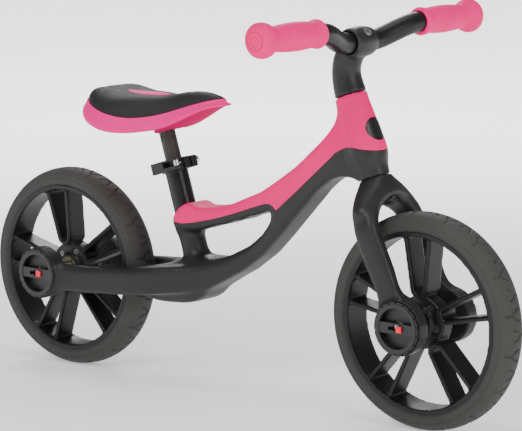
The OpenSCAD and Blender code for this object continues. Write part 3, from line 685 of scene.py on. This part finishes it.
class BIKE_OT_stem(bpy.types.Operator):
    """Model the stem: a neck that bends forward into the round bar clamp"""

    bl_idname = "bike.stem"
    bl_label = "Stem"

    VOXEL = 1.1 * MM
    ROUNDING = 20
    # Height up to which the joint keeps its edge, and the clamp's flat end faces
    NECK_CRISP = 242
    CLAMP_FACE = 13
    FACE_HOLD = 0.3
    # Middle line of the neck seen from the steering axis, and its radius
    NECK = [(0, 233.1, 16.1), (0, 237, 15.9), (0.2, 242, 15.5), (0.8, 248, 15.1),
            (2, 254, 14.8), (4.4, 260, 14.6), (8.2, 265.8, 14.5), (13.4, 270.8, 14.3),
            (19.4, 275, 13.9), (25.4, 278, 13.2)]

    # Half profile of the bar clamp: distance from the middle plane and radius
    CLAMP = [(16.8, 12.3), (16.4, 13.2), (14.6, 14.2), (11, 15), (6, 15.6)]
    CLAMP_END = [(14.2, 0), (14.2, 11.9), (16.4, 11.9)]
    CLAMP_RADIUS = 15.8

    @classmethod
    def hold(cls, p):
        """How far the edges are rounded at a point, 0 to 1."""
        u, y, s = head_frame(p)
        if s < cls.NECK_CRISP:
            return joint_hold(s, HEAD_TOP)
        return cls.FACE_HOLD if abs(y) > cls.CLAMP_FACE else 1.0

    def execute(self, context):
        route = np.array([(u, s) for u, s, r in self.NECK])
        tangent = np.gradient(route, axis=0)
        tangent[0] = (0, 1)
        tangent /= np.linalg.norm(tangent, axis=1)[:, None]
        around = np.linspace(0, math.tau, 48, endpoint=False)
        rings = [[head_point(u + r * math.cos(a) * ts, r * math.sin(a),
                             s - r * math.cos(a) * tu) for a in around]
                 for (u, s, r), (tu, ts) in zip(self.NECK, tangent)]
        neck = rings_to_mesh("stem_moulding", rings)
        half = self.CLAMP_END + self.CLAMP
        profile = [(-a, r) for a, r in half] + [(0, self.CLAMP_RADIUS)] + half[::-1]
        x, z = BAR_MIDDLE
        clamp = turned("stem_clamp", profile, 64, Vector((x, 0, z)) * MM, (0, 1, 0))
        join(neck, clamp)
        soften(neck, self.VOXEL, self.ROUNDING, self.hold)
        smooth_shade(neck, 50)
        fit_piece(neck, "steering", "charcoal_plastic", FINISH["charcoal"], "stem")
        return {"FINISHED"}


class BIKE_OT_handlebar(bpy.types.Operator):
    """Bend the steel handlebar along one smooth curve"""

    bl_idname = "bike.handlebar"
    bl_label = "Handlebar"

    # Middle line of the left half's bend, and places along its straight end
    BEND = [(154, 20, 379.4), (155, 30, 380.3), (158.6, 42, 384.2), (163.4, 54, 389.2),
            (166.8, 66, 393)]
    STRAIGHT = (78, 92, 120, 172)

    def execute(self, context):
        half = [(BAR_MIDDLE[0], 10, BAR_MIDDLE[1])] + self.BEND
        half += [(BAR_END[0], y, BAR_END[1]) for y in self.STRAIGHT]
        route = [(x, -y, z) for x, y, z in reversed(half)] + half
        curve = bpy.data.curves.new("bar_tube", "CURVE")
        curve.dimensions = "3D"
        curve.bevel_depth = BAR_RADIUS * MM
        curve.bevel_resolution = 10
        curve.use_fill_caps = True
        spline = curve.splines.new("NURBS")
        spline.points.add(len(route) - 1)
        for point, (x, y, z) in zip(spline.points, route):
            point.co = (x * MM, y * MM, z * MM, 1)
        spline.order_u = 4
        spline.use_endpoint_u = True
        spline.resolution_u = 10
        pick(new_object("bar_tube", curve))
        bpy.ops.object.convert(target="MESH")
        obj = context.object
        outward(obj)
        smooth_shade(obj, 40)
        fit_piece(obj, "steering", "black_steel", FINISH["coat"], "handlebar")
        return {"FINISHED"}


class BIKE_OT_grips(bpy.types.Operator):
    """Turn the rubber grips with their end knobs"""

    bl_idname = "bike.grips"
    bl_label = "Grips"

    # From the inner end to the knob: flange, waist, palm swell, knob and its end rings
    PROFILE = [
        (0, 10.8), (0, 12.2), (0.8, 13.3), (2.2, 14.1), (4, 14.5), (6, 14.2), (8, 13.4),
        (10.5, 12.9), (14, 12.9), (20, 13.3), (28, 13.9), (36, 14.2), (44, 14.1),
        (54, 13.6), (62, 12.9), (69, 12.5), (73, 12.6), (76, 13.4), (78.5, 15),
        (81, 16.5), (83.6, 17.2), (86.2, 17.4), (88.6, 17.1), (91, 16.1), (93, 14.4),
        (94.6, 12.4), (95.4, 10.9), (95.5, 10), (94.4, 9.6), (94.4, 8.9), (95.6, 8.4),
        (96.2, 7.6), (96.2, 5.6), (95.3, 5.1), (95.3, 4.6), (96.2, 4), (96.6, 2),
        (96.7, 0)]

    def execute(self, context):
        start = context.scene.bike_sizes.grip_inner / MM
        x, z = BAR_END
        for hand, way in zip(SIDES, (-1, 1)):
            obj = turned(f"{hand}_grip_rubber", self.PROFILE, 56,
                         Vector((x, way * start, z)) * MM, (0, way, 0))
            fit_piece(obj, "steering", "grip_rubber", FINISH["grip"], f"{hand}_grip")
        return {"FINISHED"}


class BIKE_OT_saddle(bpy.types.Operator):
    """Model the saddle: shell, padded top, inlay and socket"""

    bl_idname = "bike.saddle"
    bl_label = "Saddle"

    # Half plan of the shell, from the back to the nose
    PLAN = [
        (-202.5, 0), (-201, 14), (-195.5, 28), (-185.5, 42), (-171, 53), (-153, 58.6),
        (-135, 58.6), (-118, 54), (-104, 46.5), (-92, 38.5), (-80, 32), (-66, 26.5),
        (-50, 22.5), (-34, 17.5), (-23, 11.5), (-16.5, 5), (-14.4, 0)]
    # Heights along the saddle: pad's edge, pad's ridge, shell's lower edge and belly
    EDGE = [
        (-203, 303), (-190, 303), (-175, 299.5), (-160, 294.5), (-145, 290.5), (-130, 287.8),
        (-117, 286.6), (-104, 287.4), (-92, 289.6), (-78, 293.8), (-65, 298.4), (-50, 303.2),
        (-38, 306.8), (-26, 309.6), (-14, 310.5)]
    RIDGE = [
        (-203, 303), (-200, 307), (-196, 310.3), (-190, 312.5), (-182, 313.4), (-174, 313),
        (-166, 311.3), (-157, 309.3), (-142, 308.2), (-125, 307.8), (-110, 307.8),
        (-98, 308.2), (-88, 309.8), (-76, 312.9), (-62, 315.6), (-49, 317.2), (-38, 317.2),
        (-29, 315.6), (-22, 313.2), (-14, 311.5)]
    LOW = [
        (-203, 292), (-195, 287.5), (-187, 283.5), (-171, 277.8), (-150, 272.6), (-135, 270.8),
        (-120, 270.6), (-105, 271.8), (-90, 274.4), (-76, 279.2), (-65, 284.6), (-52, 291.4),
        (-38, 297.8), (-26, 301.6), (-14, 303)]
    BELLY = [
        (-203, 292), (-187, 288), (-171, 285), (-150, 281), (-130, 278), (-110, 274.5),
        (-95, 272.6), (-80, 273.4), (-65, 278), (-49, 284.2), (-36, 290.2), (-24, 297.4),
        (-14, 304)]
    # Points round each ring, the point that rings shrink to, and the pad's inset
    COUNT = 144
    MIDDLE = np.array([-112.0, 0.0])
    PAD_INSET = 7.0
    # Swell to each side at the rear: height, place (x, y) and spread (x, y)
    SWELL = 1.6
    SWELL_AT = (-176, 28)
    SWELL_SPREAD = (16, 13)
    # Inlay: a lens of two arcs, its middle, and how far the arcs' centres lie from it
    LENS_X = -126
    LENS_RADIUS = 48
    LENS_OFFSET = 36
    # Square socket: width and height, and its middle above the seat tube's top
    SOCKET = (20, 17)
    SOCKET_RISE = 54

    @classmethod
    def outline(cls, inset):
        """The plan drawn inwards by an inset, and by a little less at its two ends."""
        plan = cls.PLAN + [(x, -y) for x, y in reversed(cls.PLAN[1:-1])]
        pts = closed_curve(plan, cls.COUNT)
        step = np.roll(pts, -1, 0) - np.roll(pts, 1, 0)
        normal = np.stack([step[:, 1], -step[:, 0]], 1)
        normal /= np.linalg.norm(normal, axis=1)[:, None]
        flip = np.sign((normal * (pts - cls.MIDDLE)).sum(1))[:, None]
        limit = np.minimum(inset, 0.8 * (np.abs(pts[:, 1:2]) + inset))
        return pts - normal * flip * limit

    @classmethod
    def shrunk(cls, ring, scale):
        """A ring scaled about the saddle's middle."""
        return cls.MIDDLE + (ring - cls.MIDDLE) * scale

    @classmethod
    def swell(cls, x, y):
        """Height of the slight swell to each side of the pad's rear."""
        along = (x - cls.SWELL_AT[0]) / cls.SWELL_SPREAD[0]
        across = (abs(y) - cls.SWELL_AT[1]) / cls.SWELL_SPREAD[1]
        return cls.SWELL * math.exp(-along ** 2 - across ** 2)

    def pad(self):
        """Padded top that rolls over from its edge to a crowned ridge."""
        edge = self.outline(self.PAD_INSET)
        rings = []
        for drop, scale in ((7, 0.93), (5, 0.985), (2.2, 0.999)):
            rings.append([(x, y, table(self.EDGE, x) - drop)
                          for x, y in self.shrunk(edge, scale)])
        for scale in (1.0, 0.994, 0.982, 0.965, 0.945, 0.92, 0.88, 0.83, 0.76, 0.67, 0.56,
                      0.44, 0.32, 0.2, 0.1, 0.03):
            ring = []
            for x, y in self.shrunk(edge, scale):
                low, high = table(self.EDGE, x), table(self.RIDGE, x, 3.0)
                high += self.swell(x, y)
                # The sides roll over more tightly towards the rear
                tight = min(1, max(0, (-150 - x) / 40))
                rise = (1 - scale ** (4 + 8 * tight)) ** 0.53
                ring.append((x, y, low + (high - low) * rise))
            rings.append(ring)
        pad = rings_to_mesh("saddle_cushion", np.array(rings) * MM)
        smooth_shade(pad, 60)
        fit_piece(pad, "seat", "saddle_foam", FINISH["pad"], "saddle_pad")
        return pad

    def shell(self):
        """Shell: lip round the pad, side wall down to a crease, and belly."""
        rings = []
        for inset, drop in ((12.0, 5.0), (8.4, 3.4), (7.3, 0.8), (6.6, 0.1), (5.8, 0.4),
                            (5.0, 1.8), (4.2, 4.0)):
            rings.append([(x, y, table(self.EDGE, x) - drop)
                          for x, y in self.outline(inset)])
        lip = drop
        for share, inset in ((0.2, 2.6), (0.42, 1.0), (0.64, 0.1), (0.82, 0.2), (0.93, 1.1),
                             (1.0, 2.8)):
            ring = []
            for x, y in self.outline(inset):
                top, low = table(self.EDGE, x) - lip, table(self.LOW, x)
                ring.append((x, y, top + (low - top) * share))
            rings.append(ring)
        crease = (len(rings) - 1) * self.COUNT
        base = self.outline(inset)
        for scale in (0.97, 0.92, 0.84, 0.72, 0.58, 0.42, 0.26, 0.1):
            ring = []
            for x, y in self.shrunk(base, scale):
                low, belly = table(self.LOW, x), table(self.BELLY, x)
                ring.append((x, y, low + (belly - low) * (1 - scale ** 2.2)))
            rings.append(ring)
        shell = rings_to_mesh("saddle_shell_moulding", np.array(rings) * MM)
        # Faces below the crease take the darker pink, which is painted shade on the belly
        shell.data.materials.append(FINISH["shell"])
        shell.data.materials.append(FINISH["under"])
        for face in shell.data.polygons:
            face.material_index = int(min(face.vertices) >= crease)
        smooth_shade(shell, 38)
        fit_piece(shell, "seat", "light_pink_plastic", FINISH["shell"], "saddle_shell")

    def inlay(self, pad):
        """Pointed inlay, proud of the pad by half a millimetre."""
        tree = BVHTree.FromPolygons([v.co for v in pad.data.vertices],
                                    [f.vertices for f in pad.data.polygons])
        radius, offset = self.LENS_RADIUS, self.LENS_OFFSET
        reach = math.acos(offset / radius)
        lens = [(radius * math.sin(t * side), (radius * math.cos(t) - offset) * side)
                for side in (1, -1)
                for t in np.linspace(-reach, reach, 30, endpoint=False)]
        rings = []
        for scale, lift in ((0.97, -2.0), (1.0, -0.4), (0.99, 0.2), (0.965, 0.5), (0.9, 0.5),
                            (0.8, 0.35), (0.65, 0.3), (0.5, 0.3), (0.35, 0.3), (0.2, 0.3),
                            (0.06, 0.3)):
            ring = []
            for x, y in np.array(lens) * scale:
                above = Vector((x + self.LENS_X, y, 400)) * MM
                hit = tree.ray_cast(above, Vector((0, 0, -1)))[0]
                ring.append((x + self.LENS_X, y, hit.z / MM + lift))
            rings.append(ring)
        inlay = rings_to_mesh("saddle_inlay_moulding", np.array(rings) * MM)
        smooth_shade(inlay, 45)
        fit_piece(inlay, "seat", "light_pink_plastic", FINISH["shell"], "saddle_inlay")

    def socket(self):
        """Square socket under the shell that takes the post, rounded at its edges."""
        deselect()
        bpy.ops.mesh.primitive_cube_add(size=1)
        obj = bpy.context.object
        obj.name = "saddle_socket"
        width, height = self.SOCKET
        turn = Matrix.Translation(POST_TOP) @ Matrix.Rotation(-POST_TILT, 4, "Y")
        obj.data.transform(turn @ Matrix.Translation((0, 0, self.SOCKET_RISE * MM))
                           @ Matrix.Diagonal((width * MM, width * MM, height * MM, 1)))
        modify(obj, "BEVEL", width=2.2 * MM, segments=3)
        smooth_shade(obj, 40)
        # The socket takes the darker underside pink: painted shade beneath the saddle
        fit_piece(obj, "seat", "light_pink_plastic", FINISH["under"])

    def execute(self, context):
        pad = self.pad()
        self.shell()
        self.inlay(pad)
        self.socket()
        return {"FINISHED"}


def tread_radius(y):
    """Radius of the tyre's rounded tread at a distance from its middle plane."""
    return TYRE_RADIUS - 0.0135 * y ** 2 - 0.000042 * y ** 4


class BIKE_OT_tyres(bpy.types.Operator):
    """Mould the foam tyres with their forked tread grooves"""

    bl_idname = "bike.tyres"
    bl_label = "Tyres"

    # Half profile: radius and distance from the middle plane; tread, then side wall
    PROFILE = [(tread_radius(k * 0.75), k * 0.75) for k in range(21)] + [
        (103.2, 16.2), (102, 16.9), (100.9, 17.3), (100.3, 17.4), (99.8, 17.1), (99.2, 17.15),
        (98, 17.6), (96.5, 17.9), (95, 18), (93.6, 17.8), (92.6, 17.2), (92, 16.4),
        (91, 16), (89.4, 15.6), (89.4, 8)]
    # Columns of corners for each groove, and the radius below which nothing is cut
    COLUMNS = 26
    TREAD_END = 101
    # Middle lines of one forked groove, each from (along, across) to (along, across)
    FORKED = (((0, 12), (0, 5)), ((0, 5), (-3.6, 2)), ((-3.6, 2), (-6, -4)),
              ((0, 5), (3.6, 2)), ((3.6, 2), (6, -4)))
    # Half width of a groove and the width of its sloping sides
    HALF_WIDTH = 1.3
    SLOPE = 0.7

    @classmethod
    def groove(cls, u, v):
        """Share of the full depth at (along, across) in mm from a groove's middle."""
        best = math.inf
        for (ax, ay), (bx, by) in cls.FORKED:
            dx, dy = bx - ax, by - ay
            t = max(0, min(1, ((u - ax) * dx + (v - ay) * dy) / (dx * dx + dy * dy)))
            best = min(best, math.hypot(u - ax - t * dx, v - ay - t * dy))
        return max(0.0, min(1.0, (cls.HALF_WIDTH - best) / cls.SLOPE))

    def execute(self, context):
        sizes = context.scene.bike_sizes
        total = sizes.groove_count * self.COLUMNS
        rows = [(r, -y) for r, y in reversed(self.PROFILE)] + self.PROFILE[1:]
        depth = sizes.groove_depth / MM
        # One groove and the next, which points the other way
        pair = []
        for i in range(2 * self.COLUMNS):
            u = (i % self.COLUMNS - self.COLUMNS / 2) * math.tau * TYRE_RADIUS / total
            way = 1 if i < self.COLUMNS else -1
            pair.append([depth * self.groove(u, way * y) if r > self.TREAD_END else 0.0
                         for r, y in rows])
        n = len(rows)
        faces = [(i * n + k, i * n + (k + 1) % n, (i + 1) % total * n + (k + 1) % n,
                  (i + 1) % total * n + k) for i in range(total) for k in range(n)]
        for end, x in AXLE_X.items():
            verts = []
            for i in range(total):
                a = math.tau * i / total
                for (r, y), cut in zip(rows, pair[i % len(pair)]):
                    verts.append(((x + (r - cut) * math.sin(a)) * MM, y * MM,
                                  (TYRE_RADIUS + (r - cut) * math.cos(a)) * MM))
            obj = mesh_object(f"{end}_tyre_foam", verts, faces=faces)
            outward(obj)
            smooth_shade(obj, 55)
            fit_piece(obj, f"{end}_wheel", "foam_tyre", FINISH["tyre"], f"{end}_tyre")
        return {"FINISHED"}


class BIKE_OT_rims(bpy.types.Operator):
    """Model the five-spoke rims with softened moulded edges"""

    bl_idname = "bike.rims"
    bl_label = "Rims"

    def execute(self, context):
        sizes = context.scene.bike_sizes
        for end in ENDS:
            obj = skin_of(f"{end}_rim_moulding", f"{end}_rim")
            soften(obj, sizes.wheel_voxel, 5, lambda p: 1.0)
            smooth_shade(obj, 45)
            fit_piece(obj, f"{end}_wheel", "wheel_plastic", FINISH["wheel"], f"{end}_rim")
        return {"FINISHED"}


class BIKE_OT_stage(bpy.types.Operator):
    """Pale floor, soft lights and the camera"""

    bl_idname = "bike.stage"
    bl_label = "Stage"

    # Camera: azimuth, elevation and roll in degrees, target, distance and lens in mm
    VIEW = (40.06, 9.53, -0.24)
    TARGET = Vector((27.24, 0, 192.14)) * MM
    DISTANCE = 2666.01 * MM
    LENS = 178.235
    # Disk lamps: place and diameter in metres, power in watts
    LAMPS = {
        "key": ((0.3, -2.6, 2.2), 1.5, 50),
        "top": ((-0.2, 0.3, 3.0), 2.4, 42),
        "side": ((2.8, -0.4, 1.3), 1.2, 28),
        "rim": ((-1.8, 2.2, 1.9), 1.2, 34),
    }
    LIT_POINT = Vector((0.0, 0.0, 0.2))
    WORLD_LIGHT = 0.24
    # The floor brightens from a near distance to a far one, in metres
    GLOW = {"From Min": 0.4, "From Max": 2.2, "To Min": 0.45, "To Max": 2.2}

    def camera(self, context):
        """Camera at its angles round the target, rolled about its own axis."""
        turn, rise, roll = (math.radians(v) for v in self.VIEW)
        back = Vector((math.sin(turn) * math.cos(rise), -math.cos(turn) * math.cos(rise),
                       math.sin(rise)))
        right = (-back).cross(Vector((0, 0, 1))).normalized()
        up = right.cross(-back)
        across = right * math.cos(roll) + up * math.sin(roll)
        above = -right * math.sin(roll) + up * math.cos(roll)
        data = bpy.data.cameras.new("view")
        data.sensor_width = 36
        data.lens = self.LENS
        data.clip_start = 0.05
        data.clip_end = 60
        camera = new_object("view", data)
        basis = Matrix((across, above, back)).transposed().to_4x4()
        camera.matrix_world = Matrix.Translation(self.TARGET + back * self.DISTANCE) @ basis
        context.scene.camera = camera

    def lamps(self):
        """Soft disk lamps, all aimed at the bike."""
        for name, (place, size, power) in self.LAMPS.items():
            data = bpy.data.lights.new(name, "AREA")
            data.shape = "DISK"
            data.size = size
            data.energy = power
            obj = new_object(name, data)
            obj.location = place
            aim = self.LIT_POINT - Vector(place)
            obj.rotation_euler = aim.to_track_quat("-Z", "Y").to_euler()

    def floor(self, context):
        """Wide white floor that glows softly, more so away from the bike."""
        deselect()
        bpy.ops.mesh.primitive_plane_add(size=60, location=(0, 0, 0))
        floor = context.object
        floor.name = "floor"
        paper = finish("paper_white_matt", linear("#F6F6F6"), 0.8, 40.0, 0.0, 0.004,
                       Emission_Color=(1, 1, 1, 1))
        tree = paper.node_tree
        place = add(tree, "ShaderNodeTexCoord").outputs["Object"]
        far = add(tree, "ShaderNodeVectorMath", links={0: place},
                  operation="LENGTH").outputs["Value"]
        glow = add(tree, "ShaderNodeMapRange", self.GLOW, {"Value": far},
                   interpolation_type="SMOOTHSTEP").outputs["Result"]
        shader = next(n for n in tree.nodes if n.type == "BSDF_PRINCIPLED")
        tree.links.new(glow, shader.inputs["Emission Strength"])
        floor.data.materials.append(paper)

    def world(self, context):
        """Even white light from all round."""
        world = bpy.data.worlds.new("studio")
        world.use_nodes = True
        shade = world.node_tree.nodes["Background"]
        shade.inputs["Color"].default_value = (1, 1, 1, 1)
        shade.inputs["Strength"].default_value = self.WORLD_LIGHT
        context.scene.world = world

    def execute(self, context):
        self.camera(context)
        self.floor(context)
        self.world(context)
        self.lamps()
        return {"FINISHED"}


class BIKE_PT_panel(bpy.types.Panel):
    """Sidebar panel that lists the bike's pieces"""

    bl_idname = "BIKE_PT_panel"
    bl_label = "Balance Bike"
    bl_space_type = "VIEW_3D"
    bl_region_type = "UI"
    bl_category = "Balance Bike"

    def draw(self, context):
        for group in (context.scene.bike_sizes, context.scene.bike_colours):
            for key in group.__annotations__:
                self.layout.prop(group, key)
        for operator in OPERATORS:
            self.layout.operator(operator.bl_idname)


OPERATORS = (
    BIKE_OT_finishes, BIKE_OT_frame, BIKE_OT_fork, BIKE_OT_stem, BIKE_OT_handlebar,
    BIKE_OT_grips, BIKE_OT_saddle, BIKE_OT_tyres, BIKE_OT_rims, BIKE_OT_stage)
CLASSES = (BikeSizes, BikeColours) + OPERATORS + (BIKE_PT_panel,)


def register():
    for cls in CLASSES:
        bpy.utils.register_class(cls)
    bpy.types.Scene.bike_sizes = PointerProperty(type=BikeSizes)
    bpy.types.Scene.bike_colours = PointerProperty(type=BikeColours)


def unregister():
    del bpy.types.Scene.bike_colours
    del bpy.types.Scene.bike_sizes
    for cls in reversed(CLASSES):
        bpy.utils.unregister_class(cls)


def main():
    register()
    for operator in OPERATORS:
        area, name = operator.bl_idname.split(".")
        getattr(getattr(bpy.ops, area), name)()


if __name__ == "__main__":
    main()
